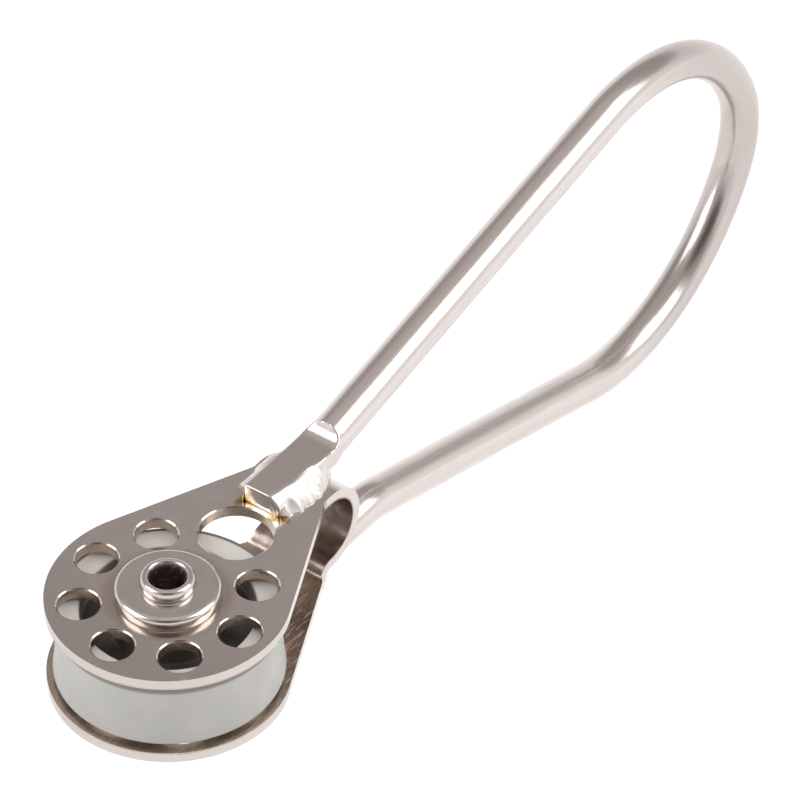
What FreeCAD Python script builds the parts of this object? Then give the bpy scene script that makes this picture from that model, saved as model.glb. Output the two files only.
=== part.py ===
"""Single sheave block for a boat.

One stainless strip is folded into two round cheeks.  A hollow rivet joins them and carries a
plastic sheave that turns on a steel sleeve.  A rod loop is welded to the outside of both necks.

Millimetres.  The origin is on the axle, midway between the cheeks.  +Z runs along the axle
towards the front cheek and +X runs from the sheave to the rod loop.
"""
import FreeCAD
import Part
import math
import os

V = FreeCAD.Vector
X_AXIS = V(1, 0, 0)
Y_AXIS = V(0, 1, 0)
Z_AXIS = V(0, 0, 1)
ORIGIN = V(0, 0, 0)

# Strap: one folded strip
strip_t = 1.55
block_width = 14.3            # over the outside of both cheeks
cheek_r = 15.9
neck_half_width = 5.75
neck_x = 25.9                 # where the tapered shoulders reach the neck
fold_x = 27.2                 # centre of the fold
fold_outer_r = 6.29
joggle_run = 3.0              # length of the step that takes the rear cheek out to full width

# Lightening holes, the same in both cheeks
hole_ring_r = 11.5
small_hole_r = 2.8
small_hole_step = 45.0
small_hole_count = 7
lead_hole_x = 14.33
lead_hole_r = 4.93

# Hollow rivet and its two washers
rivet_bore_r = 2.3
rivet_wall = 0.7
head_base_r = 3.7
head_rim_r = 3.0
head_h = 1.6
head_mouth = 0.35             # chamfer at the mouth of the bore
washer_r = 6.95
washer_t = 1.83
washer_edge_r = 0.8

# Sleeve, bush and thrust washers between the cheeks
sleeve_wall = 1.5
running_clearance = 0.05
bush_wall = 1.45
thrust_t = 0.5
thrust_side_clearance = 0.15
thrust_r = 7.2
hub_end_gap = 0.3

# Sheave
sheave_r = 15.1
sheave_rim_gap = 0.8          # between the rim and each cheek
sheave_edge_r = 0.6
tread_sag = 0.45
rim_inner_r = 11.4
hub_wall = 1.6
web_t = 4.2
pocket_r = 0.8

# Rod loop
rod_r = 2.75
foot_end_x = 19.9
foot_rod_h = 1.4              # rod axis above the cheek along a foot
foot_flat_h = 2.9             # milled top of a foot above the cheek
foot_flat_end_x = 31.9
foot_top_scoop_r = 2.7
foot_seat_scoop_r = 2.0
front_bend_x = 31.56          # where the front leg's axis leaves the foot's
front_leg_angle = 11.5
front_leg_length = 66.5
rear_leg_angle = 16.9
foot_bend_r = 12.0
crown_radii = (30.4, 16.4, 30.0)
crown_turns = (75.7, 53.4)    # the third turn closes the loop onto the rear leg

# Fillet welds along both sides of each foot
weld_start_inset = 0.3
weld_length = 10.9
weld_toe_y = 5.0
weld_root_y = 1.0
weld_h = 2.8
weld_end_chamfer = 0.9

# Values that follow from the ones above
half_width = block_width / 2
cheek_inner_z = half_width - strip_t
fold_z = half_width - fold_outer_r
neck_rear_z = fold_z - fold_outer_r
joggle_depth = half_width + neck_rear_z
shank_r = rivet_bore_r + rivet_wall
sleeve_r = shank_r + sleeve_wall
bush_bore_r = sleeve_r + running_clearance
bush_r = bush_bore_r + bush_wall
hub_r = bush_r + hub_wall
hub_half = cheek_inner_z - thrust_t - hub_end_gap
rim_half = cheek_inner_z - sheave_rim_gap
rivet_half = half_width + washer_t + head_h
foot_axis_z = half_width + foot_rod_h
strap_end_x = fold_x + fold_outer_r
REACH = 4 * cheek_r           # longer than anything it has to cut through


def save(shape, name):
    """Write one piece to its own file."""
    shape.exportStep(f"parts/{name}.step")


def face_of(edges):
    return Part.Face(Part.Wire(edges))


def line(a, b):
    return Part.LineSegment(a, b).toShape()


def polygon_face(points):
    closed = points + [points[0]]
    return Part.Face(Part.makePolygon(closed))


def turned(points):
    """Solid of revolution about Z from (radius, z) points."""
    profile = polygon_face([V(r, 0, z) for r, z in points])
    return profile.revolve(ORIGIN, Z_AXIS, 360)


def ring(outer_r, inner_r, z0, z1):
    return turned([(inner_r, z0), (outer_r, z0), (outer_r, z1), (inner_r, z1)])


def mirrored(shape):
    """The same piece on the other side of the block."""
    return shape.mirror(ORIGIN, Z_AXIS)


def arc_of(centre, radius, start, end):
    """Arc in the XZ plane through the angles start and end, in degrees."""
    def at(angle):
        a = math.radians(angle)
        return centre + V(radius * math.cos(a), 0, radius * math.sin(a))
    return Part.Arc(at(start), at((start + end) / 2), at(end)).toShape()


def joggle_edges(offset):
    """Step of the strip between neck and rear cheek, offset inwards from its outer face."""
    angle = 2 * math.degrees(math.atan(abs(joggle_depth) / joggle_run))
    middle_r = joggle_run / (2 * math.sin(math.radians(angle)))
    way = math.copysign(1, joggle_depth)
    to_face = way * (strip_t / 2 - offset)
    near_centre = V(fold_x, 0, neck_rear_z + strip_t / 2 - way * middle_r)
    far_centre = V(fold_x - joggle_run, 0, -half_width + strip_t / 2 + way * middle_r)
    near = arc_of(near_centre, middle_r - to_face, way * 90, way * (90 + angle))
    far = arc_of(far_centre, middle_r + to_face, way * (angle - 90), way * -90)
    return [near, far]


def strip_side(offset):
    """One side of the folded strip's section, from the front cheek's end to the rear's."""
    end_x = -2 * cheek_r
    z_front = half_width - offset
    z_rear = -half_width + offset
    front = line(V(end_x, 0, z_front), V(fold_x, 0, z_front))
    fold = arc_of(V(fold_x, 0, fold_z), fold_outer_r - offset, 90, -90)
    near, far = joggle_edges(offset)
    rear = line(V(fold_x - joggle_run, 0, z_rear), V(end_x, 0, z_rear))
    return [front, fold, near, far, rear]


def extruded_across(edges):
    """Solid with a section in the XZ plane, as wide as the cut needs."""
    face = face_of(Part.sortEdges(edges)[0])
    face.translate(V(0, -REACH / 2, 0))
    return face.extrude(V(0, REACH, 0))


def start_of(edges):
    return edges[0].valueAt(edges[0].FirstParameter)


def end_of(edges):
    return edges[-1].valueAt(edges[-1].LastParameter)


def folded_strip():
    """The strip's full section, extruded across the block."""
    outer = strip_side(0)
    inner = strip_side(strip_t)
    ends = [line(start_of(outer), start_of(inner)), line(end_of(outer), end_of(inner))]
    return extruded_across(outer + inner + ends)


def strap_envelope():
    """Everything inside the strap's outer face: what the feet and welds may not enter."""
    outer = strip_side(0)
    return extruded_across(outer + [line(start_of(outer), end_of(outer))])


def shoulder_touch():
    """Point where the tapered shoulder leaves the round cheek."""
    reach = math.hypot(neck_x, neck_half_width)
    angle = math.atan2(neck_half_width, neck_x) + math.acos(cheek_r / reach)
    return V(cheek_r * math.cos(angle), cheek_r * math.sin(angle), 0)


def cheek_outline():
    """The cheek's outline, seen along the axle, through the whole width of the block."""
    touch = shoulder_touch()
    neck = V(neck_x, neck_half_width, 0)
    end = V(2 * strap_end_x, neck_half_width, 0)

    def low(p):
        return V(p.x, -p.y, 0)
    edges = [
        Part.Arc(touch, V(-cheek_r, 0, 0), low(touch)).toShape(),
        line(low(touch), low(neck)),
        line(low(neck), low(end)),
        line(low(end), end),
        line(end, neck),
        line(neck, touch),
    ]
    face = face_of(edges)
    face.translate(V(0, 0, -REACH / 2))
    return face.extrude(V(0, 0, REACH))


def through_hole(x, y, radius):
    return Part.makeCylinder(radius, REACH, V(x, y, -REACH / 2), Z_AXIS)


def cheek_holes():
    """Rivet hole, the ring of small holes and the larger hole towards the neck."""
    holes = [through_hole(0, 0, shank_r), through_hole(lead_hole_x, 0, lead_hole_r)]
    for k in range(small_hole_count):
        a = math.radians(180 + small_hole_step * (k - (small_hole_count - 1) / 2))
        holes.append(through_hole(hole_ring_r * math.cos(a), hole_ring_r * math.sin(a), small_hole_r))
    return holes


def cheek_strap():
    """Both cheeks, the neck and the fold between them, as one piece."""
    return folded_strip().common(cheek_outline()).cut(Part.makeCompound(cheek_holes()))


def hollow_rivet():
    """Tube through the whole block with a formed head on each washer."""
    head_z = half_width + washer_t
    upper = [
        (shank_r, head_z),
        (head_base_r, head_z),
        (head_rim_r, rivet_half),
        (rivet_bore_r + head_mouth, rivet_half),
        (rivet_bore_r, rivet_half - head_mouth),
    ]
    lower = [(r, -z) for r, z in reversed(upper)]
    return turned(upper + lower)


def head_washer():
    washer = ring(washer_r, shank_r, half_width, half_width + washer_t)
    rim = [
        e for e in washer.Edges
        if abs(e.BoundBox.ZMin - half_width - washer_t) < 1e-6
        and abs(e.BoundBox.ZMax - e.BoundBox.ZMin) < 1e-6
        and e.BoundBox.XMax > washer_r - 0.01
    ]
    return washer.makeFillet(washer_edge_r, rim)


def axle_sleeve():
    return ring(sleeve_r, shank_r, -cheek_inner_z, cheek_inner_z)


def thrust_washer():
    return ring(thrust_r, sleeve_r + thrust_side_clearance, cheek_inner_z - thrust_t, cheek_inner_z)


def sheave_bush():
    return ring(bush_r, bush_bore_r, -hub_half, hub_half)


def sheave():
    """Wheel with a shallow tread, a recess in each face and a hub that holds the bush."""
    flat = rim_half - sheave_edge_r
    half_web = web_t / 2
    lower = [(bush_r, -hub_half), (hub_r, -hub_half), (hub_r, -half_web),
             (rim_inner_r, -half_web), (rim_inner_r, -rim_half),
             (sheave_r - sheave_edge_r, -rim_half), (sheave_r, -flat)]
    upper = [(r, -z) for r, z in reversed(lower)]
    low = [V(r, 0, z) for r, z in lower]
    high = [V(r, 0, z) for r, z in upper]
    edges = [line(a, b) for a, b in zip(low, low[1:])]
    edges.append(Part.Arc(low[-1], V(sheave_r - tread_sag, 0, 0), high[0]).toShape())
    edges += [line(a, b) for a, b in zip(high, high[1:])]
    edges.append(line(high[-1], low[0]))
    wheel = face_of(edges).revolve(ORIGIN, Z_AXIS, 360)
    corners = [
        e for e in wheel.Edges
        if abs(abs(e.BoundBox.ZMin) - half_web) < 1e-6
        and abs(e.BoundBox.ZMax - e.BoundBox.ZMin) < 1e-6
    ]
    return wheel.makeFillet(pocket_r, corners)


class RodPath:
    """Centre line of the rod in the XZ plane: straight runs and tangent bends."""

    def __init__(self, x, z, heading):
        self.at = V(x, 0, z)
        self.heading = heading
        self.edges = []
        self.length = 0.0

    def ahead(self):
        a = math.radians(self.heading)
        return V(math.cos(a), 0, math.sin(a))

    def run_to(self, point):
        self.edges.append(line(self.at, point))
        self.length += self.at.distanceToPoint(point)
        self.at = point

    def run(self, length):
        self.run_to(self.at + self.ahead() * length)

    def bend(self, radius, turn):
        """Turn left by a positive angle, or right by a negative one, seen with X right and Z up."""
        side = math.copysign(1, turn)
        centre = self.at + V(-self.ahead().z, 0, self.ahead().x) * (radius * side)
        start = self.heading - 90 * side
        self.edges.append(arc_of(centre, radius, start, start + turn))
        self.heading += turn
        end = math.radians(start + turn)
        self.at = centre + V(math.cos(end), 0, math.sin(end)) * radius
        self.length += radius * math.radians(abs(turn))


def loop_path():
    """From the front foot out along the upper leg, round the crown and back to the rear foot."""
    front_tangent = foot_bend_r * math.tan(math.radians(front_leg_angle / 2))
    rear_tangent = foot_bend_r * math.tan(math.radians(rear_leg_angle / 2))
    path = RodPath(foot_end_x, foot_axis_z, 0.0)
    path.run(front_bend_x - front_tangent - foot_end_x)
    path.bend(foot_bend_r, front_leg_angle)
    path.run(front_leg_length - front_tangent)
    closing_turn = 180 + front_leg_angle + rear_leg_angle - sum(crown_turns)
    for radius, turn in zip(crown_radii, crown_turns + (closing_turn,)):
        path.bend(radius, -turn)
    drop = -foot_axis_z - path.at.z
    path.run(drop / path.ahead().z - rear_tangent)
    path.bend(foot_bend_r, rear_leg_angle)
    path.run_to(V(foot_end_x, 0, -foot_axis_z))
    return path


def foot_cutters():
    """Cutters that leave the front foot flat on top and underneath, with scooped ends."""
    start_x = foot_end_x - rod_r
    length = foot_flat_end_x - start_x
    top_z = half_width + foot_flat_h
    wide = 4 * rod_r
    top = Part.makeBox(length, wide, wide, V(start_x, -wide / 2, top_z))
    top_scoop = Part.makeCylinder(
        foot_top_scoop_r, wide, V(foot_flat_end_x, -wide / 2, top_z + foot_top_scoop_r), Y_AXIS)
    seat = Part.makeBox(length, wide, wide, V(start_x, -wide / 2, half_width - wide))
    seat_scoop = Part.makeCylinder(
        foot_seat_scoop_r, wide, V(foot_flat_end_x, -wide / 2, half_width - foot_seat_scoop_r), Y_AXIS)
    return [top, top_scoop, seat, seat_scoop]


def rod_loop():
    """One bent rod, milled flat at both feet and clear of the strap."""
    path = loop_path()
    section = Part.Wire(Part.makeCircle(rod_r, path.edges[0].valueAt(0), X_AXIS))
    rod = Part.Wire(path.edges).makePipeShell([section], True, True)
    front = foot_cutters()
    for cutter in front + [mirrored(c) for c in front] + [strap_envelope()]:
        rod = rod.cut(cutter)
    return rod


def weld_blank():
    """One fillet bead beside the front foot, before the rod and strap are taken out of it."""
    start = foot_end_x + weld_start_inset
    end = start + weld_length
    top_z = half_width + weld_h
    root_z = fold_z
    section = [
        V(start, weld_root_y, root_z),
        V(start, weld_toe_y, root_z),
        V(start, weld_toe_y, half_width),
        V(start, rod_r, top_z),
        V(start, weld_root_y, top_z),
    ]
    bead = polygon_face(section).extrude(V(weld_length, 0, 0))
    corner = weld_toe_y - weld_end_chamfer
    for x, way in ((start, 1), (end, -1)):
        trim = polygon_face([
            V(x, corner, root_z),
            V(x + way * weld_end_chamfer, weld_toe_y, root_z),
            V(x, weld_toe_y, root_z),
        ]).extrude(V(0, 0, top_z - root_z))
        bead = bead.cut(trim)
    return bead


def welds(rod):
    """Four beads: both sides of both feet."""
    taken = [rod, strap_envelope()]
    front_left = weld_blank()
    blanks = {"front_left": front_left, "rear_left": mirrored(front_left)}
    beads = {}
    for place, blank in blanks.items():
        bead = blank
        for solid in taken:
            bead = bead.cut(solid)
        bead = max(bead.Solids, key=lambda s: s.Volume)
        beads[place] = bead
        beads[place.replace("left", "right")] = bead.mirror(ORIGIN, Y_AXIS)
    return beads


def build():
    os.makedirs("parts", exist_ok=True)
    loop = rod_loop()
    pieces = {
        "cheek_strap": cheek_strap(),
        "rod_loop": loop,
        "hollow_rivet": hollow_rivet(),
        "front_head_washer": head_washer(),
        "rear_head_washer": mirrored(head_washer()),
        "axle_sleeve": axle_sleeve(),
        "front_thrust_washer": thrust_washer(),
        "rear_thrust_washer": mirrored(thrust_washer()),
        "sheave_bush": sheave_bush(),
        "sheave": sheave(),
    }
    for place, bead in welds(loop).items():
        pieces[f"weld_{place}"] = bead
    for name, shape in pieces.items():
        save(shape, name)
        print(f"{name:22s} solids {len(shape.Solids)} valid {shape.isValid()} volume {shape.Volume:9.2f}")
    path = loop_path()
    section_area = math.pi * rod_r ** 2
    print(f"rod path {path.length:.1f} mm, full rod volume {section_area * path.length:.1f}")


build()
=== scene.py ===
"""Looks of the single sheave block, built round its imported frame.

Metres, in the frame of the block: the origin is on the axle midway between the cheeks, +Z runs
along the axle towards the front cheek and +X runs from the sheave to the rod loop.
"""
import math
import bmesh
import bpy
from mathutils import Matrix, Vector
from mathutils.kdtree import KDTree


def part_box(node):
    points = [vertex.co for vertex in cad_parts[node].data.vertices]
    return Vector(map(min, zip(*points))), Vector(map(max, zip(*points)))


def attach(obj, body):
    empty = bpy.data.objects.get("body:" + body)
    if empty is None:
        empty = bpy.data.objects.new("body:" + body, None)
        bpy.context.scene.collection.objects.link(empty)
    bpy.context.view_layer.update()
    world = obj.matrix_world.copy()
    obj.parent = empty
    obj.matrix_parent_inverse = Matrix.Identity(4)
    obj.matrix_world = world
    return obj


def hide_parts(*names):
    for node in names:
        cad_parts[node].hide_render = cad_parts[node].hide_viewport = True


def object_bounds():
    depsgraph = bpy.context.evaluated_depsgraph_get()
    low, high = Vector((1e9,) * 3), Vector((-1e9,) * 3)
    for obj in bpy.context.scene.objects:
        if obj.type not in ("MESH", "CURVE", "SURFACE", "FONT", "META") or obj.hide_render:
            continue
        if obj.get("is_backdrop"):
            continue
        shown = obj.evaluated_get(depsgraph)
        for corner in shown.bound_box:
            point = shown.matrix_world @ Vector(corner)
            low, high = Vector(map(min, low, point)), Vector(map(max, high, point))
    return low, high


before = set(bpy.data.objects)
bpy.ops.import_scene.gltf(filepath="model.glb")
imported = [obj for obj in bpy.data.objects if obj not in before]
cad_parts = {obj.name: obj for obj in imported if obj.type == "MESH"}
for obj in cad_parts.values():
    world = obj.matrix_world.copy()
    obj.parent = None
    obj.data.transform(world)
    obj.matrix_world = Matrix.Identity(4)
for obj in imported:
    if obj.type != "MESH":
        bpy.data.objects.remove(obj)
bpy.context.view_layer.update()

MM = 0.001
X_AXIS = Vector((1, 0, 0))
Y_AXIS = Vector((0, 1, 0))
Z_AXIS = Vector((0, 0, 1))

# Sizes read from the frame
strap_low, strap_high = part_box("cheek_strap")
washer_low, washer_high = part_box("front_head_washer")
rivet_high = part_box("hollow_rivet")[1]
sleeve_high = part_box("axle_sleeve")[1]
thrust_low, thrust_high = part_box("front_thrust_washer")
bush_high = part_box("sheave_bush")[1]
wheel_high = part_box("sheave")[1]
rod_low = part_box("rod_loop")[0]

# Strap
half_width = strap_high.z
cheek_r = -strap_low.x
strip_t = 1.55 * MM
neck_half_width = 5.75 * MM
neck_x = 25.9 * MM
fold_outer_r = 6.29 * MM
fold_x = strap_high.x - fold_outer_r
fold_z = half_width - fold_outer_r
joggle_run = 3.0 * MM
strap_edge_round = 0.42 * MM
hole_chamfer = 0.19 * MM

# Holes
hole_ring_r = 11.5 * MM
hole_spacing = math.radians(45)
small_hole_count = 7
small_hole_r = 2.8 * MM
lead_hole_x = 14.33 * MM
lead_hole_r = 4.93 * MM

# Rivet, washers and bearing
bore_r = 2.3 * MM
shank_r = 3.0 * MM
head_base_r = rivet_high.x
lip_r = 2.9 * MM
head_undercut_r = head_base_r - 0.22 * MM
head_heel_r = head_base_r - 0.06 * MM
head_heel_h = 0.12 * MM
head_flare_h = 0.32 * MM
bore_flare_depth = 1.5 * MM
washer_rim_round = 0.85 * MM
washer_foot_round = 0.14 * MM
sleeve_edge_round = 0.1 * MM
thrust_edge_round = 0.08 * MM
thrust_clearance = 0.15 * MM
bush_edge_round = 0.12 * MM
running_clearance = 0.05 * MM

# Sheave
tread_sag = 0.45 * MM
rim_inner_r = 11.4 * MM
rim_half = 4.95 * MM
hub_r = 7.6 * MM
web_half = 2.1 * MM
tread_corner_round = 0.4 * MM
wheel_edge_round = 0.3 * MM

# Rod loop
rod_r = 2.75 * MM
foot_rod_h = 1.4 * MM
foot_flat_h = 2.9 * MM
foot_flat_end_x = 31.9 * MM
foot_scoop_r = 2.2 * MM
foot_seat_scoop_r = 2.0 * MM
press_spread = 0.12 * MM
press_squareness = 0.8
press_end_x = 34.8 * MM
flat_edge = 0.3 * MM
rod_end_round = 0.2 * MM
front_bend_x = 31.56 * MM
front_leg_angle = 11.5
front_leg_length = 66.5 * MM
near_bend_length = 2.5 * MM
rear_leg_angle = 16.9
foot_bend_r = 12.0 * MM
crown_radii = (30.4 * MM, 16.4 * MM, 30.0 * MM)
crown_turns = (75.7, 53.4)

# Welds: where the crest and the toe are and how high the crest is, as (x, size) stations in
# millimetres. The beads at -Y climb to the foot's flat. Those at +Y stop lower and reach out more.
weld_start_x = 19.75 * MM
weld_end_x = 31.0 * MM
weld_crest = ((19.7, 1.3), (22.0, 1.7), (24.0, 2.1), (27.0, 2.0), (29.4, 2.75), (31.0, 2.7))
weld_height = ((19.7, 1.5), (20.6, 2.82), (28.2, 2.86), (29.6, 2.2), (31.0, 0.9))
weld_toe = (
    (19.7, 2.6), (21.0, 3.9), (23.4, 4.5), (25.2, 4.95), (27.5, 4.6), (29.0, 4.0), (31.0, 3.0),
)
weld_outer_toe = ((19.7, 3.1), (21.2, 4.8), (24.0, 5.1), (27.5, 5.25), (29.5, 4.7), (31.0, 3.4))
outer_crest_y = 2.8 * MM
outer_crest_share = 0.8
weld_slant = math.radians(52)
slant_fade_start_x = weld_end_x - 1.5 * MM
slant_fade_end_x = foot_flat_end_x + 1.0 * MM
slant_fade_rise = 1.0 * MM
ripple_pitch = 1.05
bead_face_share = 0.8
bead_back_hollow = 0.3 * MM

# How finely round shapes are divided
turned_steps = 96
wheel_steps = 128
tread_steps = 10
rod_segments = 144
end_steps = 120
hole_segments = 56
fold_cuts = 48
joggle_cuts = 24
bead_rows = 150
bead_columns = 36
rivet_lip_steps = 16
rivet_mouth_steps = 12
front_foot_rings = 40
near_bend_rings = 24
leg_rings = 4
rear_foot_rings = 90
foot_bend_step = 0.5
crown_bend_step = 2.0

# Sizes that follow from these
foot_end_x = rod_low.x
foot_axis_z = half_width + foot_rod_h
cheek_inner_z = half_width - strip_t


# ---------------------------------------------------------------- shader maths

class Socket:
    """A shader output that takes part in sums, products and powers."""

    def __init__(self, sheet, output):
        self.sheet = sheet
        self.output = output

    def maths(self, operation, *others):
        values = dict(enumerate((self, *others)))
        return self.sheet.node("Math", {"operation": operation}, values)

    def __add__(self, other):
        return self.maths("ADD", other)

    __radd__ = __add__

    def __sub__(self, other):
        return self.maths("SUBTRACT", other)

    def __rsub__(self, other):
        return self.sheet.node("Math", {"operation": "SUBTRACT"}, {0: other, 1: self})

    def __mul__(self, other):
        return self.maths("MULTIPLY", other)

    __rmul__ = __mul__

    def __truediv__(self, other):
        return self.maths("DIVIDE", other)

    def __pow__(self, other):
        return self.maths("POWER", other)

    def between(self, low, high):
        """0 below low, 1 above high and a smooth rise between them."""
        values = {"Value": self, "From Min": low, "From Max": high}
        return self.sheet.node("MapRange", {"interpolation_type": "SMOOTHSTEP"}, values)


class Sheet:
    """The nodes of one material, or of the world."""

    def __init__(self, tree):
        self.tree = tree
        tree.nodes.clear()

    def node(self, kind, settings, values, output=0):
        """One node: its settings first, then what its sockets hold. Gives the output asked for."""
        made = self.tree.nodes.new("ShaderNode" + kind)
        for key, value in settings.items():
            if key == "stops":
                self.stops(made.color_ramp, value)
            else:
                setattr(made, key, value)
        for key, value in values.items():
            if isinstance(value, Socket):
                self.tree.links.new(value.output, made.inputs[key])
            else:
                made.inputs[key].default_value = value
        return Socket(self, made.outputs[output]) if made.outputs else None

    def stops(self, ramp, stops):
        """Give a ramp its (place, colour) stops."""
        ramp.interpolation = "EASE"
        while len(ramp.elements) < len(stops):
            ramp.elements.new(1.0)
        for element, (place, colour) in zip(ramp.elements, stops):
            element.position = place
            element.color = (*colour, 1.0)

    def place_mm(self):
        """Where a point is on the block, in millimetres."""
        place = self.node("TexCoord", {}, {}, "Object")
        return self.scaled(place, (1 / MM, 1 / MM, 1 / MM))

    def scaled(self, vector, scale, turn=(0, 0, 0)):
        return self.node("Mapping", {}, {"Vector": vector, "Scale": scale, "Rotation": turn})

    def noise(self, vector, scale, detail=2.0, roughness=0.5):
        values = {"Vector": vector, "Scale": scale, "Detail": detail, "Roughness": roughness}
        return self.node("TexNoise", {}, values, "Fac")

    def attribute(self, name):
        """A number stored on the piece's vertices."""
        return self.node("Attribute", {"attribute_name": name}, {}, "Fac")

    def vector(self, x, y, z):
        return self.node("CombineXYZ", {}, {"X": x, "Y": y, "Z": z})

    def parts(self, vector):
        """The X, Y and Z of a vector as three sockets."""
        made = self.node("SeparateXYZ", {}, {"Vector": vector})
        return [Socket(self, made.output.node.outputs[k]) for k in range(3)]

    def mix(self, share, a, b):
        """Colour a where the share is 0 and colour b where it is 1."""
        values = {"Factor": share, 6: a, 7: b}
        return self.node("Mix", {"data_type": "RGBA"}, values, 2)

    def bump(self, height, distance):
        """Surface relief: distance is how high a height of 1 stands."""
        return self.node("Bump", {}, {"Height": height, "Distance": distance})

    def ramp(self, value, stops):
        return self.node("ValToRGB", {"stops": stops}, {"Fac": value})


def colour(r, g, b):
    return (r, g, b, 1.0)


def material(name, make):
    """A material whose surface is a Principled shader with the values that make returns."""
    made = bpy.data.materials.new(name)
    made.use_nodes = True
    sheet = Sheet(made.node_tree)
    surface = sheet.node("BsdfPrincipled", {}, make(sheet))
    sheet.node("OutputMaterial", {}, {"Surface": surface})
    return made


# ------------------------------------------------------------------- finishes

STEEL = colour(0.70, 0.65, 0.625)
STEEL_DULL = colour(0.60, 0.55, 0.52)
# Painted shade on the cheeks towards their round ends
STEEL_SHADED_END = colour(0.50, 0.455, 0.435)
STEEL_CROWN_DARK = colour(0.46, 0.42, 0.40)
SCRATCH_BRIGHT = colour(0.88, 0.85, 0.83)
SEEP_BROWN = colour(0.44, 0.355, 0.28)
STAIN_LIGHT = colour(0.60, 0.48, 0.39)
STAIN_DARK = colour(0.42, 0.335, 0.275)
# Painted shade inside the fold
FOLD_PAINTED_SHADE = colour(0.19, 0.145, 0.12)
STAIN_BRUSHED = colour(0.72, 0.64, 0.55)
# Rivet bore: painted shade, and light blobs of painted reflection
BORE_PAINTED_SHADE = colour(0.25, 0.185, 0.17)
BORE_PAINTED_GLINT = colour(0.62, 0.56, 0.53)
BEAD_BRIGHT = colour(0.74, 0.70, 0.67)
BEAD_BURNT = colour(0.40, 0.27, 0.14)
NYLON_GREY = colour(0.465, 0.458, 0.435)
NYLON_DULL = colour(0.42, 0.42, 0.40)
NYLON_FACE = colour(0.76, 0.74, 0.71)
# Painted shadow of the front cheek on the tread
NYLON_PAINTED_SHADOW = colour(0.14, 0.13, 0.12)
# Sheave recesses: grease, with painted shade
GREASE_AND_SHADE_DARK = colour(0.10, 0.085, 0.075)
GREASE_AND_SHADE_LIGHT = colour(0.18, 0.16, 0.145)
BEARING_PALE = colour(0.80, 0.78, 0.72)
BEARING_DULL = colour(0.72, 0.70, 0.64)
OXIDE_STOPS = [
    (0.0, (0.17, 0.08, 0.035)), (0.22, (0.30, 0.16, 0.065)), (0.50, (0.50, 0.40, 0.20)),
    (0.80, (0.62, 0.56, 0.44)), (1.0, (0.70, 0.65, 0.625)),
]
NYLON_IOR = 1.52

# How high a height of 1 stands on each surface
strip_relief = 0.004 * MM
rod_relief = 0.010 * MM
turned_relief = 0.004 * MM
bead_relief = 0.012 * MM
sheave_relief = 0.006 * MM
bearing_relief = 0.005 * MM

# The same sizes in millimetres, for patterns
half_width_mm = half_width / MM
foot_end_mm = foot_end_x / MM
fold_mm = fold_x / MM
washer_r_mm = washer_high.x / MM
bore_mm = bore_r / MM
sheave_r_mm = wheel_high.x / MM
rim_inner_mm = rim_inner_r / MM
rim_half_mm = rim_half / MM


def streaks(sheet, place, turn, fine, long):
    """Thin straight polishing lines: 1 on a line, 0 elsewhere."""
    stretched = sheet.scaled(place, (long, fine, fine), (0, 0, turn))
    return sheet.noise(stretched, scale=1.0, detail=1.0).between(0.60, 0.72)


def polish(sheet, place):
    """Mixed fine scratches of a hand-polished face, in three directions."""
    first = streaks(sheet, place, turn=0.5, fine=9.0, long=0.35)
    second = streaks(sheet, place, turn=2.1, fine=11.0, long=0.5)
    third = streaks(sheet, place, turn=1.2, fine=14.0, long=0.9)
    return (first + second + third) * 0.33


def from_axle(x, y):
    """Distance from the axle."""
    return (x * x + y * y) ** 0.5


def heat_tint(sheet, place, base):
    """Straw to brown oxide on the cheeks, in a small patch where each bead starts."""
    x, y, z = sheet.parts(place)
    wander = (sheet.noise(place, scale=0.9, detail=3.0) - 0.5) * 2.2
    along = x - foot_end_mm + 0.1
    across = (y.maths("ABSOLUTE") - 2.7) * 0.6
    away = (along * along + across * across) ** 0.5 + wander
    outside = z.maths("ABSOLUTE").between(half_width_mm - 0.5, half_width_mm - 0.3)
    share = (1 - away.between(0.6, 1.4)) * outside
    return sheet.mix(share, base, sheet.ramp(away / 1.5, OXIDE_STOPS))


def stained(sheet, cloud, fold, brushed):
    """Brown of the unpolished inside, with painted shade in patches inside the fold, lighter where
    it was brushed.
    """
    stain = sheet.mix(cloud, STAIN_LIGHT, STAIN_DARK)
    # Painted shade: dark patches inside the fold
    stain = sheet.mix(fold * cloud.between(0.30, 0.50), stain, FOLD_PAINTED_SHADE)
    return sheet.mix(brushed.maths("MINIMUM", 1.0) * 0.8, stain, STAIN_BRUSHED)


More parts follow.
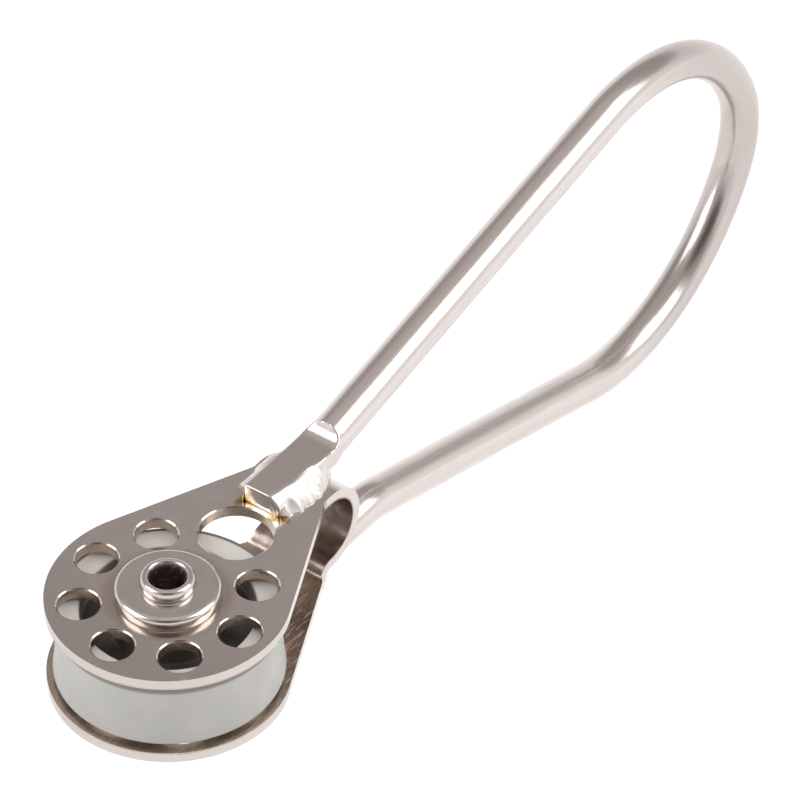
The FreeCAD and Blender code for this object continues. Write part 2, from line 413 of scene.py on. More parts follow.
def strip_finish(sheet):
    """Polished outside with fine scratches; the inside is left brown and brushed."""
    place = sheet.place_mm()
    x, y, _ = sheet.parts(place)
    inner = sheet.attribute("inner").between(0.78, 0.95)
    cloud = sheet.noise(place, scale=0.25, detail=4.0, roughness=0.6)
    scratches = polish(sheet, place) * (1 - inner)
    specks = sheet.noise(place, scale=2.4, detail=2.0).between(0.70, 0.76)
    fold = x.between(fold_mm - 6.0, fold_mm)
    first = streaks(sheet, place, turn=0.9, fine=4.0, long=0.3)
    second = streaks(sheet, place, turn=2.4, fine=5.0, long=0.5)
    brushed = (first + second) * inner * (1 - fold * 0.9)
    # Painted shade: the cheeks darken towards their round ends, at -X
    shaded_round_end = 1 - x.between(-18.0, 14.0)
    seep_reach = from_axle(x, y) + (cloud - 0.5) * 2.0
    seep = 1 - seep_reach.between(washer_r_mm + 0.3, washer_r_mm + 2.3)
    tone = sheet.mix(cloud.between(0.3, 0.75) * 0.5, STEEL, STEEL_DULL)
    tone = sheet.mix(scratches * 0.5 + specks * 0.4 * (1 - inner), tone, SCRATCH_BRIGHT)
    tone = sheet.mix(shaded_round_end * 0.5, tone, STEEL_SHADED_END)
    tone = sheet.mix(seep * 0.6, tone, SEEP_BROWN)
    tone = sheet.mix(inner * 0.86, tone, stained(sheet, cloud, fold, brushed))
    height = scratches * 0.5 + brushed * 3.0 + specks * 0.6
    height += sheet.noise(place, scale=0.7, detail=2.0) * 1.2
    height += sheet.noise(place, scale=0.30, detail=1.0) * inner * 50.0
    height += sheet.noise(place, scale=0.07, detail=0.0) * (1 - inner) * 62.5
    return {
        "Base Color": heat_tint(sheet, place, tone),
        "Metallic": 1.0,
        "Roughness": 0.13 + cloud * 0.08 + scratches * 0.10 + inner * 0.12 + brushed * 0.12,
        "Normal": sheet.bump(height, strip_relief),
    }


def rod_finish(sheet):
    """Drawn rod: soft polish with faint lines along it, darker round the crown."""
    place = sheet.place_mm()
    x, y, _ = sheet.parts(place)
    lane = sheet.attribute("lane")
    along = sheet.attribute("along")
    cloud = sheet.noise(place, scale=0.18, detail=3.0, roughness=0.55)
    thin = sheet.vector(along * 0.10, y * 5.0, lane * 5.0)
    wide = sheet.vector(along * 0.05, y * 1.3, lane * 1.3)
    fine = sheet.noise(thin, scale=1.0, detail=2.0)
    broad = sheet.noise(wide, scale=1.0, detail=1.0)
    specks = sheet.noise(place, scale=1.9, detail=2.0).between(0.68, 0.76)
    dull = fine.between(0.45, 0.7) * 0.45 + cloud.between(0.35, 0.8) * 0.3
    # Darker round the crown
    crown_darkening = x.between(98.0, 118.0)
    return {
        "Base Color": sheet.mix(crown_darkening * 0.6, sheet.mix(dull, STEEL, STEEL_DULL), STEEL_CROWN_DARK),
        "Metallic": 1.0,
        "Roughness": 0.17 + cloud * 0.08 + fine.between(0.5, 0.75) * 0.10,
        "Normal": sheet.bump(fine * 0.45 + broad * 2.5 + specks * 0.3, rod_relief),
    }


def turned_finish(sheet):
    """Turned steel: faint rings round the axle under the polish, and painted shade in the bore
    with light blobs of painted reflection.
    """
    place = sheet.place_mm()
    x, y, z = sheet.parts(place)
    radius = from_axle(x, y)
    rings = sheet.noise(sheet.vector(radius * 9.0, z * 9.0, 0.0), scale=1.0, detail=2.0)
    cloud = sheet.noise(place, scale=0.5, detail=3.0)
    scratches = polish(sheet, place)
    # Painted shade down the bore, with light blobs of painted reflection
    mouth = 1 - radius.between(bore_mm + 0.15, bore_mm + 0.42)
    glint_blobs = sheet.noise(place, scale=1.4, detail=2.0).between(0.52, 0.66)
    tone = sheet.mix(cloud.between(0.35, 0.75) * 0.4, STEEL, STEEL_DULL)
    return {
        "Base Color": sheet.mix(mouth * 0.95, tone, sheet.mix(glint_blobs, BORE_PAINTED_SHADE, BORE_PAINTED_GLINT)),
        "Metallic": 1.0,
        "Roughness": 0.14 + rings * 0.07 + scratches * 0.08 + mouth * 0.25,
        "Normal": sheet.bump(rings * 0.8 + scratches * 0.4 + cloud, turned_relief),
    }


def weld_finish(sheet):
    """Bright bead with patches of straw and brown oxide where it starts and at its toe."""
    place = sheet.place_mm()
    x, _, z = sheet.parts(place)
    patch = sheet.noise(place, scale=0.8, detail=3.0)
    start = 1 - (x - weld_start_x / MM).between(0.1, 1.6)
    toe = 1 - (z.maths("ABSOLUTE") - half_width_mm).between(0.0, 0.5)
    burnt = (start * 0.35 + toe * 0.2) * patch.between(0.42, 0.62)
    bright = sheet.mix(patch.between(0.5, 0.8) * 0.5, BEAD_BRIGHT, STEEL_DULL)
    return {
        "Base Color": sheet.mix(burnt, bright, BEAD_BURNT),
        "Metallic": 1.0,
        "Roughness": 0.26 + patch * 0.14 + burnt * 0.10,
        "Normal": sheet.bump(sheet.noise(place, scale=2.2, detail=3.0), bead_relief),
    }


def sheave_finish(sheet):
    """Light grey moulded nylon: darker in its recesses, from grease and painted shade, and with a
    painted shadow on its tread under the front cheek.
    """
    place = sheet.place_mm()
    x, y, z = sheet.parts(place)
    radius = from_axle(x, y)
    cloud = sheet.noise(place, scale=0.22, detail=4.0)
    grain = sheet.noise(place, scale=6.0, detail=3.0)
    lines = sheet.noise(sheet.vector(z * 5.0, radius, 0.0), scale=1.0, detail=2.0)
    # Recesses darker: partly grease, partly painted shade
    recess = 1 - radius.between(rim_inner_mm - 0.3, rim_inner_mm + 0.1)
    tread = radius.between(sheave_r_mm - 0.9, sheave_r_mm - 0.6)
    # Painted shadow: a dark band on the front side of the tread, under the front cheek's edge
    cheek_shadow_band = (z + cloud * 0.2).between(rim_half_mm - 1.3, rim_half_mm - 0.6)
    shade = sheet.mix(cloud.between(0.3, 0.7), NYLON_GREY, NYLON_DULL)
    shade = sheet.mix(recess * 0.9, shade, sheet.mix(cloud, GREASE_AND_SHADE_DARK, GREASE_AND_SHADE_LIGHT))
    shade = sheet.mix(cheek_shadow_band * tread * 0.85, shade, NYLON_PAINTED_SHADOW)
    shade = sheet.mix((1 - tread) * (1 - recess), shade, NYLON_FACE)
    return {
        "Base Color": shade,
        "Roughness": 0.36 + grain * 0.10 + lines * 0.06,
        "IOR": NYLON_IOR,
        "Normal": sheet.bump(grain * 0.6 + lines, sheave_relief),
    }


def bearing_finish(sheet):
    """Pale moulded nylon with a fine grain."""
    place = sheet.place_mm()
    grain = sheet.noise(place, scale=5.0, detail=2.0)
    cloud = sheet.noise(place, scale=0.4, detail=2.0)
    return {
        "Base Color": sheet.mix(cloud, BEARING_PALE, BEARING_DULL),
        "Roughness": 0.40 + grain * 0.12,
        "Normal": sheet.bump(grain, bearing_relief),
    }


strip_steel = material("polished strip steel", strip_finish)
rod_steel = material("polished rod steel", rod_finish)
turned_steel = material("turned steel", turned_finish)
weld_steel = material("weld bead", weld_finish)
sheave_nylon = material("grey nylon", sheave_finish)
bearing_nylon = material("bearing nylon", bearing_finish)


# -------------------------------------------------------------- mesh helpers

SMOOTH_BELOW = math.radians(38)

# How near counts as the same place, in metres
TOUCHING = 1e-7
LEVEL = 1e-6
ON_WALL = 2e-6
ON_CIRCLE = 1e-5
MELTED = 2e-6


def finish_piece(bm, name, body, slot, skin, *nodes):
    """Make a piece of a finished bmesh: it rides on a body and stands for its CAD nodes."""
    bmesh.ops.recalc_face_normals(bm, faces=bm.faces)
    mesh = bpy.data.meshes.new(name)
    bm.to_mesh(mesh)
    bm.free()
    mesh.polygons.foreach_set("use_smooth", [True] * len(mesh.polygons))
    mesh.set_sharp_from_angle(angle=SMOOTH_BELOW)
    mesh.materials.append(skin)
    piece = bpy.data.objects.new(name, mesh)
    bpy.context.scene.collection.objects.link(piece)
    normals = piece.modifiers.new("even normals", "WEIGHTED_NORMAL")
    normals.keep_sharp = True
    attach(piece, body)
    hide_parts(*nodes)


def round_edges(bm, chosen, width, segments=3):
    bmesh.ops.bevel(bm, geom=chosen, offset=width, segments=segments, profile=0.5,
                    affect="EDGES", material=-1, clamp_overlap=True)


def sharp_edges(bm, angle=40.0):
    """Edges whose two faces meet at more than an angle in degrees."""
    limit = math.radians(angle)
    return [e for e in bm.edges if len(e.link_faces) == 2 and e.calc_face_angle() > limit]


def turned(profile, steps=turned_steps):
    """Spin a closed profile of (radius, z) points about the axle."""
    bm = bmesh.new()
    points = [bm.verts.new((r, 0, z)) for r, z in profile]
    edges = [bm.edges.new((a, b)) for a, b in zip(points, points[1:] + points[:1])]
    bmesh.ops.spin(bm, geom=points + edges, cent=(0, 0, 0), axis=Z_AXIS,
                   angle=math.tau, steps=steps, use_merge=True)
    bmesh.ops.remove_doubles(bm, verts=bm.verts, dist=TOUCHING)
    bmesh.ops.recalc_face_normals(bm, faces=bm.faces)
    return bm


def ring(outer_r, inner_r, z0, z1):
    """A flat ring round the axle between two heights."""
    return turned([(inner_r, z0), (outer_r, z0), (outer_r, z1), (inner_r, z1)])


def softened_ring(outer_r, inner_r, z0, z1, width):
    """A ring with all its edges rounded."""
    bm = ring(outer_r, inner_r, z0, z1)
    round_edges(bm, sharp_edges(bm), width)
    return bm


def mirrored(bm):
    """The same piece on the other side of the block."""
    bmesh.ops.scale(bm, vec=(1, 1, -1), verts=bm.verts)
    return bm


def circle_edges(bm, edges, radius, z):
    """Those of the given edges that lie round the axle at one radius and height."""
    def on(v):
        off_radius = abs(math.hypot(v.co.x, v.co.y) - radius)
        return off_radius < ON_CIRCLE and abs(v.co.z - z) < ON_CIRCLE

    return [e for e in edges if all(on(v) for v in e.verts)]


# --------------------------------------------------------------------- strap

fold_mid_r = fold_outer_r - strip_t / 2
joggle_depth = 2 * (half_width - fold_outer_r)
joggle_bend = 2 * math.atan(joggle_depth / joggle_run)
joggle_r = joggle_run / (2 * math.sin(joggle_bend))
joggle_start = fold_x + math.pi * fold_mid_r
joggle_end = joggle_start + 2 * joggle_r * joggle_bend
blank_length = joggle_end + fold_x - joggle_run


def draw_outline(bm):
    """Closed outline of the flat blank: a round end, a neck and another round end."""
    reach = math.hypot(neck_x, neck_half_width)
    touch = math.atan2(neck_half_width, neck_x) + math.acos(cheek_r / reach)
    neck_top = bm.verts.new((neck_x, neck_half_width, 0))
    arc_start = bm.verts.new((cheek_r * math.cos(touch), cheek_r * math.sin(touch), 0))
    arc = bmesh.ops.spin(bm, geom=[arc_start], cent=(0, 0, 0), axis=Z_AXIS,
                         angle=math.tau - 2 * touch, steps=end_steps)
    arc_end = next(g for g in arc["geom_last"] if isinstance(g, bmesh.types.BMVert))
    neck_bottom = bm.verts.new((neck_x, -neck_half_width, 0))
    bm.edges.new((neck_top, arc_start))
    bm.edges.new((arc_end, neck_bottom))
    rear = bmesh.ops.duplicate(bm, geom=bm.verts[:] + bm.edges[:])
    bmesh.ops.rotate(bm, cent=(blank_length / 2, 0, 0), matrix=Matrix.Rotation(math.pi, 3, "Z"),
                     verts=[g for g in rear["geom"] if isinstance(g, bmesh.types.BMVert)])
    bm.edges.new((neck_bottom, rear["vert_map"][neck_top]))
    bm.edges.new((rear["vert_map"][neck_bottom], neck_top))


def cut_across(bm, x):
    everything = bm.verts[:] + bm.edges[:] + bm.faces[:]
    bmesh.ops.bisect_plane(bm, geom=everything, plane_co=(x, 0, 0), plane_no=X_AXIS,
                           dist=TOUCHING)


def strap_blank():
    """The flat blank with its holes, cut across wherever it will bend, its edges rounded.

    The layer "inner" goes from 0 on the outside of the block to 1 on the inside and in the holes.
    """
    bm = bmesh.new()
    draw_outline(bm)
    holes = [(0, 0, shank_r), (lead_hole_x, 0, lead_hole_r)]
    for k in range(1, small_hole_count + 1):
        a = k * hole_spacing
        holes.append((hole_ring_r * math.cos(a), hole_ring_r * math.sin(a), small_hole_r))
    for x, y, radius in holes:
        for middle_x in (x, blank_length - x):
            bmesh.ops.create_circle(bm, segments=hole_segments, radius=radius,
                                    matrix=Matrix.Translation((middle_x, y, 0)))
    bmesh.ops.triangle_fill(bm, use_beauty=True, use_dissolve=False, edges=bm.edges[:])
    cuts = [neck_x]
    cuts += [fold_x + (joggle_start - fold_x) * k / fold_cuts for k in range(fold_cuts + 1)]
    cuts += [joggle_start + (joggle_end - joggle_start) * k / joggle_cuts
             for k in range(1, joggle_cuts + 1)]
    for x in cuts:
        cut_across(bm, x)
    risen = bmesh.ops.extrude_face_region(bm, geom=bm.faces[:], use_keep_orig=True)["geom"]
    bmesh.ops.translate(bm, vec=(0, 0, strip_t),
                        verts=[g for g in risen if isinstance(g, bmesh.types.BMVert)])
    bmesh.ops.recalc_face_normals(bm, faces=bm.faces)
    rims = [e for e in sharp_edges(bm, 60) if abs(e.verts[0].co.z - e.verts[1].co.z) < LEVEL]

    def on_wall(v):
        """Whether a vertex is on the wall of a hole."""
        x = min(v.co.x, blank_length - v.co.x)
        return any(abs(math.hypot(x - a, v.co.y - b) - radius) < ON_WALL
                   for a, b, radius in holes)

    hole_rims = [e for e in rims if all(on_wall(v) for v in e.verts)]
    held = set(hole_rims)
    round_edges(bm, [e for e in rims if e not in held], strap_edge_round, 4)
    outside = [e for e in hole_rims if e.is_valid and e.verts[0].co.z > strip_t / 2]
    round_edges(bm, outside, hole_chamfer, 1)
    inner = bm.verts.layers.float.new("inner")
    for v in bm.verts:
        v[inner] = 1.0 if on_wall(v) else 1.0 - v.co.z / strip_t
    return bm


def folded(s, offset):
    """Where a point of the blank goes: s along it, offset outwards from mid-thickness."""
    neck_z = fold_z - fold_mid_r
    cheek_z = half_width - strip_t / 2
    if s < fold_x:
        return s, cheek_z + offset
    if s < joggle_start:
        a = (s - fold_x) / fold_mid_r
        radius = fold_mid_r + offset
        return fold_x + radius * math.sin(a), fold_z + radius * math.cos(a)
    half_way = (joggle_start + joggle_end) / 2
    if s < half_way:
        a = (s - joggle_start) / joggle_r
        radius = joggle_r - offset
        return fold_x - radius * math.sin(a), neck_z - joggle_r + radius * math.cos(a)
    if s < joggle_end:
        a = (joggle_end - s) / joggle_r
        radius = joggle_r + offset
        z = -cheek_z + joggle_r - radius * math.cos(a)
        return fold_x - joggle_run + radius * math.sin(a), z
    return blank_length - s, -cheek_z - offset


def strap():
    """The blank folded round into two cheeks."""
    bm = strap_blank()
    for v in bm.verts:
        x, z = folded(v.co.x, v.co.z - strip_t / 2)
        v.co = (x, v.co.y, z)
    return bm


finish_piece(strap(), "cheek_strap_formed", "frame", "stainless_strip", strip_steel,
             "cheek_strap")


# ------------------------------------------------------------------ rod loop

class RodBender:
    """Draws a ring of edges along the rod: straight runs and tangent bends in the XZ plane."""

    def __init__(self, segments):
        self.bm = bmesh.new()
        self.at = Vector((foot_end_x, 0, foot_axis_z))
        self.heading = 0.0
        self.axis = [self.at.copy()]
        across = Matrix.Translation(self.at) @ Matrix.Rotation(math.pi / 2, 4, "Y")
        made = bmesh.ops.create_circle(self.bm, segments=segments, radius=rod_r, matrix=across,
                                       cap_ends=True)
        self.rim = list({e for v in made["verts"] for e in v.link_edges})

    def ahead(self):
        """The way the rod points here."""
        a = math.radians(self.heading)
        return Vector((math.cos(a), 0, math.sin(a)))

    def left(self):
        """Square to the rod in its plane, on the side that a positive bend turns to."""
        return Vector((-self.ahead().z, 0, self.ahead().x))

    def run(self, length, steps):
        """Go straight on."""
        step = self.ahead() * (length / steps)
        for _ in range(steps):
            made = bmesh.ops.extrude_edge_only(self.bm, edges=self.rim)["geom"]
            verts = [g for g in made if isinstance(g, bmesh.types.BMVert)]
            bmesh.ops.translate(self.bm, vec=step, verts=verts)
            self.rim = [g for g in made if isinstance(g, bmesh.types.BMEdge)
                        and all(v in verts for v in g.verts)]
            self.at = self.at + step
            self.axis.append(self.at)

    def bend(self, radius, turn, step):
        """Turn up by a positive angle, or down by a negative one, in steps, all in degrees."""
        side = math.copysign(1, turn)
        centre = self.at + self.left() * (side * radius)
        steps = max(4, round(abs(turn) / step))
        verts = list({v for e in self.rim for v in e.verts})
        made = bmesh.ops.spin(self.bm, geom=verts + self.rim, cent=centre, axis=Y_AXIS,
                              angle=-math.radians(turn), steps=steps)
        self.rim = [g for g in made["geom_last"] if isinstance(g, bmesh.types.BMEdge)]
        for _ in range(steps):
            self.heading += turn / steps
            self.at = centre - self.left() * (side * radius)
            self.axis.append(self.at)

    def close(self):
        bmesh.ops.holes_fill(self.bm, edges=self.rim)

    def mark_lanes(self):
        """Store each vertex's length along the rod and offset in the rod's plane, in mm."""
        lane = self.bm.verts.layers.float.new("lane")
        along = self.bm.verts.layers.float.new("along")
        nearest = KDTree(len(self.axis))
        lengths = [0.0]
        for a, b in zip(self.axis, self.axis[1:]):
            lengths.append(lengths[-1] + (b - a).length / MM)
        for k, point in enumerate(self.axis):
            nearest.insert(point, k)
        nearest.balance()
        last = len(self.axis) - 1
        for v in self.bm.verts:
            point, k, _ = nearest.find(v.co)
            ahead = (self.axis[min(k + 1, last)] - self.axis[max(k - 1, 0)]).normalized()
            v[lane] = (v.co - point).dot(ahead.cross(Y_AXIS)) / MM
            v[along] = lengths[k]

    def axis_z(self, x, side):
        """Height of the rod's axis at x, on the front or the rear leg."""
        line = self.axis if side > 0 else self.axis[::-1]
        for a, b in zip(line, line[1:]):
            if x <= b.x:
                return a.z + (b.z - a.z) * (x - a.x) / (b.x - a.x)
        return line[-1].z


def smooth(x, low, high):
    """0 below low, 1 above high and a smooth rise between them."""
    share = min(1.0, max(0.0, (x - low) / (high - low)))
    return share * share * (3 - 2 * share)


def along_curve(stations, x):
    """Smooth value at x from (x, value) stations in millimetres."""
    for (x0, a), (x1, b) in zip(stations, stations[1:]):
        if x <= x1:
            return (a + (b - a) * smooth(x, x0, x1)) * MM
    return stations[-1][1] * MM


def soft_min(a, b, width):
    """The smaller of two, with the corner between them rounded."""
    h = max(width - abs(a - b), 0.0) / width
    return min(a, b) - h * h * width * 0.25


def scoop(x, radius):
    """Height that the concave end of a pressed flat has risen to at x."""
    past = max(0.0, x - foot_flat_end_x)
    if past >= radius:
        return math.inf
    return radius - math.sqrt(radius * radius - past * past)


def spread_reach(x, a):
    """Reach of a foot's surface from its axis, at angle a, with its sides spread by the press."""
    pressed = 1 - smooth(x, foot_flat_end_x, press_end_x)
    power = 2 + press_squareness * pressed
    wide = abs(math.cos(a) / (rod_r + press_spread * pressed)) ** power
    high = abs(math.sin(a) / rod_r) ** power
    return (wide + high) ** (-1 / power)


def slant_distance(x, above):
    """Distance from a foot's axis to the slanted plane that its flush bead climbs to."""
    crest = along_curve(weld_crest, x / MM)
    distance = crest * math.cos(weld_slant) + (foot_flat_h - above) * math.sin(weld_slant)
    return distance + smooth(x, slant_fade_start_x, slant_fade_end_x) * slant_fade_rise


def flat_reaches(x, a, above):
    """Reach of each pressed flat that angle a faces, its axis at a height above the cheek."""
    flats = []
    if math.sin(a) > 0.02:
        flats.append((foot_flat_h + scoop(x, foot_scoop_r) - above) / math.sin(a))
    if math.pi / 2 < a < math.pi:
        facing = math.cos(math.pi - a - weld_slant)
        if facing > 0.05:
            flats.append(slant_distance(x, above) / facing)
    if math.sin(a) < -0.02:
        flats.append((above + scoop(x, foot_seat_scoop_r)) / -math.sin(a))
    return flats


def press_feet(rod):
    """Press the outside of each foot flat, spread its sides and seat it on its cheek."""
    for v in rod.bm.verts:
        if v.co.x >= press_end_x:
            continue
        side = math.copysign(1, v.co.z)
        axis_z = side * rod.axis_z(v.co.x, side)
        up = side * v.co.z - axis_z
        a = math.atan2(up, v.co.y)
        reach = spread_reach(v.co.x, a) + math.hypot(up, v.co.y) - rod_r
        for flat in flat_reaches(v.co.x, a, axis_z - half_width):
            reach = soft_min(reach, flat, flat_edge)
        v.co.y = reach * math.cos(a)
        v.co.z = side * (axis_z + reach * math.sin(a))


def rod_loop():
    """The rod from one foot round the crown to the other, its feet pressed."""
    front_tangent = foot_bend_r * math.tan(math.radians(front_leg_angle / 2))
    rear_tangent = foot_bend_r * math.tan(math.radians(rear_leg_angle / 2))
    rod = RodBender(rod_segments)
    rod.run(front_bend_x - front_tangent - foot_end_x, front_foot_rings)
    rod.bend(foot_bend_r, front_leg_angle, foot_bend_step)
    rod.run(near_bend_length, near_bend_rings)
    rod.run(front_leg_length - front_tangent - near_bend_length, leg_rings)
    closing_turn = 180 + front_leg_angle + rear_leg_angle - sum(crown_turns)
    for radius, turn in zip(crown_radii, crown_turns + (closing_turn,)):
        rod.bend(radius, -turn, crown_bend_step)
    drop = -foot_axis_z - rod.at.z
    rod.run(drop / rod.ahead().z - rear_tangent, leg_rings)
    rod.bend(foot_bend_r, rear_leg_angle, foot_bend_step)
    rod.run(rod.at.x - foot_end_x, rear_foot_rings)
    rod.close()
    rod.mark_lanes()
    press_feet(rod)
    ends = [e for e in rod.bm.edges if any(len(f.verts) > 4 for f in e.link_faces)]
    round_edges(rod.bm, ends, rod_end_round)
    return rod.bm


finish_piece(rod_loop(), "rod_loop_polished", "frame", "stainless_rod", rod_steel, "rod_loop")


# --------------------------------------------------------------------- welds

def strap_drop(x):
    """How far the outside of the fold has fallen away from the cheek's face at x."""
    past = min(max(0.0, x - fold_x), 0.95 * fold_outer_r)
    return fold_outer_r - math.sqrt(fold_outer_r ** 2 - past ** 2)


def bead_point(x, u, seed, flush):
    """Point across a bead's face: u is 0 at the rod and 1 at the toe on the cheek.

    A flush bead climbs to the rod's flat; the other kind stops below it and bulges further out.
    """
    mm = x / MM
    if flush:
        crest_y = along_curve(weld_crest, mm)
        crest_h = along_curve(weld_height, mm)
        toe_y = along_curve(weld_toe, mm)
        bulge, fullness = 0.52, 0.72
    else:
        crest_y = outer_crest_y
        crest_h = along_curve(weld_height, mm) * outer_crest_share
        toe_y = along_curve(weld_outer_toe, mm)
        bulge, fullness = 0.62, 0.92
    wander = 0.14 * math.sin(mm * 1.3 + seed) + 0.07 * math.sin(mm * 3.1 + 2 * seed)
    toe_y += wander * MM
    bulge_y = crest_y + bulge * (toe_y - crest_y)
    y = (1 - u) ** 2 * crest_y + 2 * u * (1 - u) * bulge_y + u * u * toe_y
    h = (1 - u) ** 2 * crest_h + 2 * u * (1 - u) * crest_h * fullness - u * u * strap_drop(x)
    middle_share = math.sin(math.pi * u)
    phase = (mm + 1.5 * middle_share + 0.2 * math.sin(mm * 0.9 + seed)) / ripple_pitch
    groove = (1 - abs(math.sin(math.pi * phase))) ** 2
    depth = (0.015 + 0.055 * smooth(mm, 25.0, 26.5)) * middle_share ** 0.5
    lump = 0.035 * math.sin(mm * 1.5 + 2 * u + seed) * middle_share
    push = (lump - groove * depth) * MM
    return y + push * 0.6, h + push * 0.8


def bead(side_y, side_z):
    """One bead beside a foot: a closed tube with its face outwards and its back on the foot."""
    bm = bmesh.new()
    bmesh.ops.create_grid(bm, x_segments=bead_rows, y_segments=bead_columns, size=0.5)
    seed = 2.0 + side_y + 2.5 * side_z
    flush = side_y < 0
    length = weld_end_x - weld_start_x
    for v in bm.verts:
        x = weld_start_x + (v.co.x + 0.5) * length
        u = v.co.y + 0.5
        if u <= bead_face_share:
            y, h = bead_point(x, u / bead_face_share, seed, flush)
        else:
            first_y, first_h = bead_point(x, 0, seed, flush)
            last_y, last_h = bead_point(x, 1, seed, flush)
            share = (u - bead_face_share) / (1 - bead_face_share)
            y = last_y + (first_y - last_y) * share
            h = last_h + (first_h - last_h) * share ** 3
            h -= bead_back_hollow * math.sin(math.pi * share)
        v.co = (x, side_y * y, side_z * (half_width + h))
    bmesh.ops.remove_doubles(bm, verts=bm.verts, dist=MELTED)
    bmesh.ops.holes_fill(bm, edges=[e for e in bm.edges if e.is_boundary])
    return bm


for level, side_z in (("front", 1), ("rear", -1)):
    for side, side_y in (("left", 1), ("right", -1)):
        finish_piece(bead(side_y, side_z), f"weld_bead_{level}_{side}", "frame", "weld_metal",
                     weld_steel, f"weld_{level}_{side}")


# ------------------------------------------------- rivet, washers and bearing

def rivet():
    """Hollow rivet with a rolled, flared head at each end."""
    head_z = washer_high.z
    top = rivet_high.z
    flare_z = head_z + head_flare_h
    upper = [(shank_r, head_z), (head_undercut_r, head_z), (head_heel_r, head_z + head_heel_h)]
    for k in range(rivet_lip_steps + 1):
        a = math.pi / 2 * k / rivet_lip_steps
        r = lip_r + (head_base_r - lip_r) * math.cos(a) ** 0.85
        upper.append((r, flare_z + (top - flare_z) * math.sin(a)))
    for k in range(1, rivet_mouth_steps + 1):
        a = math.pi / 2 * k / rivet_mouth_steps
        r = bore_r + (lip_r - bore_r) * (1 - math.sin(a)) ** 1.2
        upper.append((r, top - bore_flare_depth * (1 - math.cos(a))))
    lower = [(r, -z) for r, z in reversed(upper)]
    return turned(upper + lower, wheel_steps)


def head_washer():
    """Washer under the front head, its outer rim well rounded."""
    outer = washer_high.x
    bm = ring(outer, shank_r, washer_low.z, washer_high.z)
    round_edges(bm, circle_edges(bm, bm.edges, outer, washer_high.z), washer_rim_round, 8)
    round_edges(bm, circle_edges(bm, bm.edges, outer, washer_low.z), washer_foot_round, 2)
    return bm


def thrust_washer():
    """Washer between the front cheek and the bush."""
    return softened_ring(thrust_high.x, sleeve_high.x + thrust_clearance, thrust_low.z,
                         cheek_inner_z, thrust_edge_round)


def sleeve():
    """Sleeve on the rivet's shank, from cheek to cheek."""
    return softened_ring(sleeve_high.x, shank_r, -cheek_inner_z, cheek_inner_z,
                         sleeve_edge_round)


def bush():
    """Bush of the sheave, running on the sleeve."""
    return softened_ring(bush_high.x, sleeve_high.x + running_clearance, -bush_high.z,
                         bush_high.z, bush_edge_round)


finish_piece(rivet(), "hollow_rivet_formed", "frame", "stainless_turned", turned_steel,
             "hollow_rivet")
finish_piece(head_washer(), "front_head_washer_turned", "frame", "stainless_turned",
             turned_steel, "front_head_washer")
finish_piece(mirrored(head_washer()), "rear_head_washer_turned", "frame", "stainless_turned",
             turned_steel, "rear_head_washer")
finish_piece(sleeve(), "axle_sleeve_turned", "frame", "stainless_turned", turned_steel,
             "axle_sleeve")
finish_piece(thrust_washer(), "front_thrust_washer_moulded", "frame", "bearing_plastic",
             bearing_nylon, "front_thrust_washer")
finish_piece(mirrored(thrust_washer()), "rear_thrust_washer_moulded", "frame",
             "bearing_plastic", bearing_nylon, "rear_thrust_washer")
finish_piece(bush(), "sheave_bush_moulded", "wheel", "bearing_plastic", bearing_nylon,
             "sheave_bush")


# -------------------------------------------------------------------- sheave

def sheave():
    """Wheel with a shallow tread, a recess in each face and a hub round the bush."""
    hub_half = bush_high.z
    outer = wheel_high.x
    tread = []
    for k in range(1, tread_steps):
        across = 2 * k / tread_steps - 1
        tread.append((outer - tread_sag * (1 - across * across), rim_half * across))
    lower = [(bush_high.x, -hub_half), (hub_r, -hub_half), (hub_r, -web_half),
             (rim_inner_r, -web_half), (rim_inner_r, -rim_half), (outer, -rim_half)]
    upper = [(r, -z) for r, z in reversed(lower)]
    bm = turned(lower + tread + upper, wheel_steps)
    corners = [e for z in (-rim_half, rim_half) for e in circle_edges(bm, bm.edges, outer, z)]
    round_edges(bm, corners, tread_corner_round, 5)
    round_edges(bm, sharp_edges(bm, 60), wheel_edge_round, 4)
    return bm


finish_piece(sheave(), "sheave_moulded", "wheel", "sheave_plastic", sheave_nylon, "sheave")


# ------------------------------------------------------ floor, light, camera

def towards(azimuth, elevation):
    """Unit vector at an azimuth from +X towards +Y, and an elevation, in degrees."""
    a = math.radians(azimuth)
    e = math.radians(elevation)
    return Vector((math.cos(a) * math.cos(e), math.sin(a) * math.cos(e), math.sin(e)))


# Lengths in metres, powers in watts
lens_way = towards(-144.3, 41.64)
lens_distance = 0.8616
lens_length_mm = 292.7
sensor_width_mm = 36.0
lens_target = Vector((50.4, 0, 4.2)) * MM
camera_roll = math.radians(0.383)
lights_target = Vector((0.05, 0, 0))
lights_distance = 1.2
floor_half_size = 3.0
floor_gap = 0.3 * MM
floor_glow = 0.58
PAPER = colour(0.6, 0.6, 0.6)
WHITE = colour(1, 1, 1)
LENS_DARK = colour(0.09, 0.07, 0.06)
TENT_STOPS = [
    (0.0, (1.0, 1.0, 1.0)), (0.22, (0.95, 0.94, 0.93)), (0.40, (0.44, 0.40, 0.39)),
    (0.68, (0.42, 0.385, 0.37)), (0.86, (0.55, 0.51, 0.49)), (1.0, (0.62, 0.58, 0.56)),
]


def paper_finish(sheet):
    """Matt white paper, lit a little from behind."""
    return {
        "Base Color": PAPER,
        "Roughness": 0.7,
        "Emission Color": WHITE,
        "Emission Strength": floor_glow,
    }


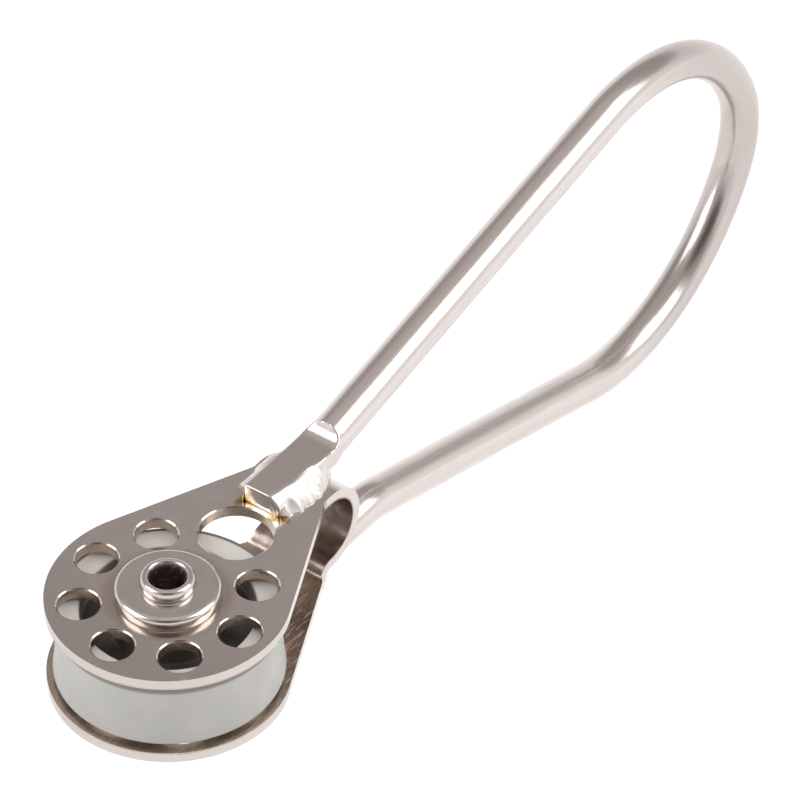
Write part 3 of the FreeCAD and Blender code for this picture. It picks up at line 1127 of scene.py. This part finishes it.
def floor():
    """Sheet of paper just under the block."""
    place = Vector((lights_target.x, 0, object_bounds()[0].z - floor_gap))
    bm = bmesh.new()
    bmesh.ops.create_grid(bm, x_segments=1, y_segments=1, size=floor_half_size,
                          matrix=Matrix.Translation(place))
    mesh = bpy.data.meshes.new("floor")
    bm.to_mesh(mesh)
    bm.free()
    mesh.materials.append(material("pale paper", paper_finish))
    plane = bpy.data.objects.new("floor", mesh)
    bpy.context.scene.collection.objects.link(plane)
    plane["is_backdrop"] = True


def aim(thing, place, target, roll=0.0):
    """Put a light or camera at a place, facing a target and rolled about its line of sight."""
    facing = (target - place).to_track_quat("-Z", "Y")
    thing.location = place
    thing.rotation_mode = "QUATERNION"
    thing.rotation_quaternion = facing @ Matrix.Rotation(roll, 3, "Z").to_quaternion()


def soft_light(name, azimuth, elevation, width, height, power):
    """Rectangular soft light that faces the block."""
    light = bpy.data.lights.new(name, "AREA")
    light.shape = "RECTANGLE"
    light.size = width
    light.size_y = height
    light.energy = power
    lamp = bpy.data.objects.new(name, light)
    bpy.context.scene.collection.objects.link(lamp)
    place = lights_target + towards(azimuth, elevation) * lights_distance
    aim(lamp, place, lights_target)


def studio():
    """Tent that is white near the table and grey above, with a dark opening for the lens."""
    world = bpy.data.worlds.new("studio tent")
    bpy.context.scene.world = world
    world.use_nodes = True
    sheet = Sheet(world.node_tree)
    x, y, z = sheet.parts(sheet.node("TexCoord", {}, {}, "Generated"))
    from_lens = x * lens_way.x + y * lens_way.y + z * lens_way.z
    opening = from_lens.between(0.89, 0.97) * 0.85
    tent = sheet.mix(opening, sheet.ramp(z, TENT_STOPS), LENS_DARK)
    light = sheet.node("Background", {}, {"Color": tent, "Strength": 1.0})
    sheet.node("OutputWorld", {}, {"Surface": light})


def camera():
    """Long lens above the front cheek, a little behind the sheave."""
    eye = bpy.data.cameras.new("camera")
    eye.sensor_width = sensor_width_mm
    eye.lens = lens_length_mm
    eye.clip_start = 0.05
    eye.clip_end = 20.0
    seat = bpy.data.objects.new("camera", eye)
    bpy.context.scene.collection.objects.link(seat)
    aim(seat, lens_target + lens_way * lens_distance, lens_target, camera_roll)
    bpy.context.scene.camera = seat


floor()
studio()
soft_light("right window", azimuth=-60, elevation=42, width=0.75, height=0.92, power=6.5)
soft_light("left window", azimuth=140, elevation=38, width=0.75, height=0.75, power=5.3)
camera()
bpy.context.scene.view_settings.view_transform = "Standard"
